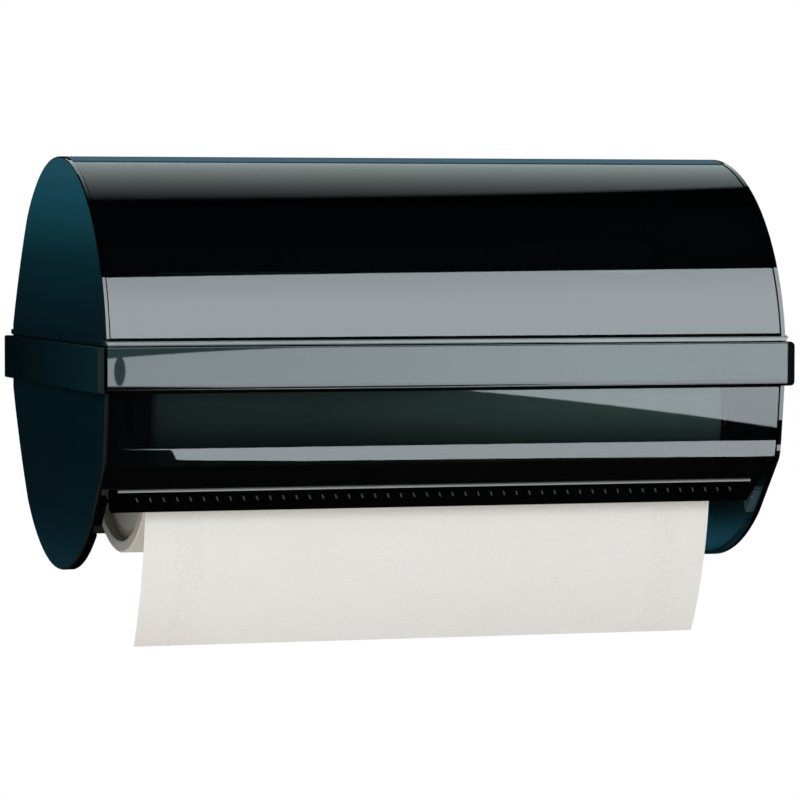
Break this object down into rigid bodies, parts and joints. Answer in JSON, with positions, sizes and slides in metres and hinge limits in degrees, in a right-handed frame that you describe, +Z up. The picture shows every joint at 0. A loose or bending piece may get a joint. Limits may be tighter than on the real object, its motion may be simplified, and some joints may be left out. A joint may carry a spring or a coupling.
{
  "type": "paper towel dispenser",
  "caption": "Wall-mounted drum dispenser for a wide paper roll, with a smoked lift-up hood, toothed tear bar and sprung roll hub.",
  "frame": {"origin": "centre of the four wall screw holes, on the back plate's wall face", "axes": "+X to the viewer's right along the drum, +Y into the wall, +Z up"},
  "size_m": [0.4336, 0.2602, 0.293],
  "materials": {
    "smoked_clear": "clear smoked, polished",
    "petrol_clear": "dark petrol blue, polished",
    "grey_clear": "smoked grey, polished",
    "black_plastic": "black, moulded",
    "hub_plastic": "natural grey, moulded",
    "steel": "plain",
    "spring_steel": "wire",
    "paper": "soft crepe, lightly embossed",
    "core_board": "plain board"
  },
  "bodies": {
    "housing": {"back_plate": "black_plastic", "left_plate_bracket": "black_plastic", "right_plate_bracket": "black_plastic", "plate_screws": "steel", "hinge_lugs": "black_plastic", "left_end_panel": "petrol_clear", "right_end_panel": "petrol_clear", "left_side_belt": "petrol_clear", "right_side_belt": "petrol_clear", "left_belt_end": "petrol_clear", "right_belt_end": "petrol_clear", "side_screws": "steel", "tear_bar": "black_plastic", "tear_blade": "steel", "left_bar_boss": "black_plastic", "right_bar_boss": "black_plastic", "bar_pins": "steel", "hinge_rod": "steel", "fixed_hub": "hub_plastic", "hub_housing": "black_plastic", "hub_screws": "steel", "hub_spring": "spring_steel", "hanging_sheet": "paper"},
    "hood": {"top_shell": "petrol_clear", "upper_cover": "smoked_clear", "lower_cover": "smoked_clear", "cover_belt": "grey_clear", "belt_lip": "grey_clear", "belt_screws": "steel", "left_ear": "black_plastic", "right_ear": "black_plastic", "left_latch_cup": "black_plastic", "right_latch_cup": "black_plastic", "left_latch_spring": "spring_steel", "right_latch_spring": "spring_steel"},
    "left_release": {"left_button": "petrol_clear"},
    "right_release": {"right_button": "petrol_clear"},
    "left_latch": {"left_latch_pin": "hub_plastic"},
    "right_latch": {"right_latch_pin": "hub_plastic"},
    "hub_plunger": {"sprung_hub": "hub_plastic"},
    "roll": {"paper_roll": "paper", "roll_core": "core_board"}
  },
  "joints": [
    {"name": "hood_hinge", "type": "hinge", "parent": "housing", "child": "hood", "pos_m": [0, -0.026, 0.0509], "axis": [-1, 0, 0], "range_deg": [0, 55]},
    {"name": "left_button_press", "type": "slide", "parent": "housing", "child": "left_release", "axis": [1, 0, 0], "range_m": [0, 0.002], "stiffness_N_per_m": 300, "springref_m": -0.002},
    {"name": "right_button_press", "type": "slide", "parent": "housing", "child": "right_release", "axis": [-1, 0, 0], "range_m": [0, 0.002], "stiffness_N_per_m": 300, "springref_m": -0.002},
    {"name": "left_latch_travel", "type": "slide", "parent": "hood", "child": "left_latch", "axis": [1, 0, 0], "range_m": [0, 0.002], "deforming": ["left_latch_spring"]},
    {"name": "right_latch_travel", "type": "slide", "parent": "hood", "child": "right_latch", "axis": [-1, 0, 0], "range_m": [0, 0.002], "deforming": ["right_latch_spring"]},
    {"name": "hub_retract", "type": "slide", "parent": "housing", "child": "hub_plunger", "axis": [1, 0, 0], "range_m": [0, 0.008], "stiffness_N_per_m": 500, "springref_m": -0.006, "deforming": ["hub_spring"]},
    {"name": "roll_spin", "type": "hinge", "parent": "housing", "child": "roll", "pos_m": [0, -0.151, -0.03], "axis": [1, 0, 0], "continuous": true}
  ],
  "couplings": [
    {"joint": "left_latch_travel", "follows": "left_button_press", "ratio": 1},
    {"joint": "right_latch_travel", "follows": "right_button_press", "ratio": 1}
  ]
}
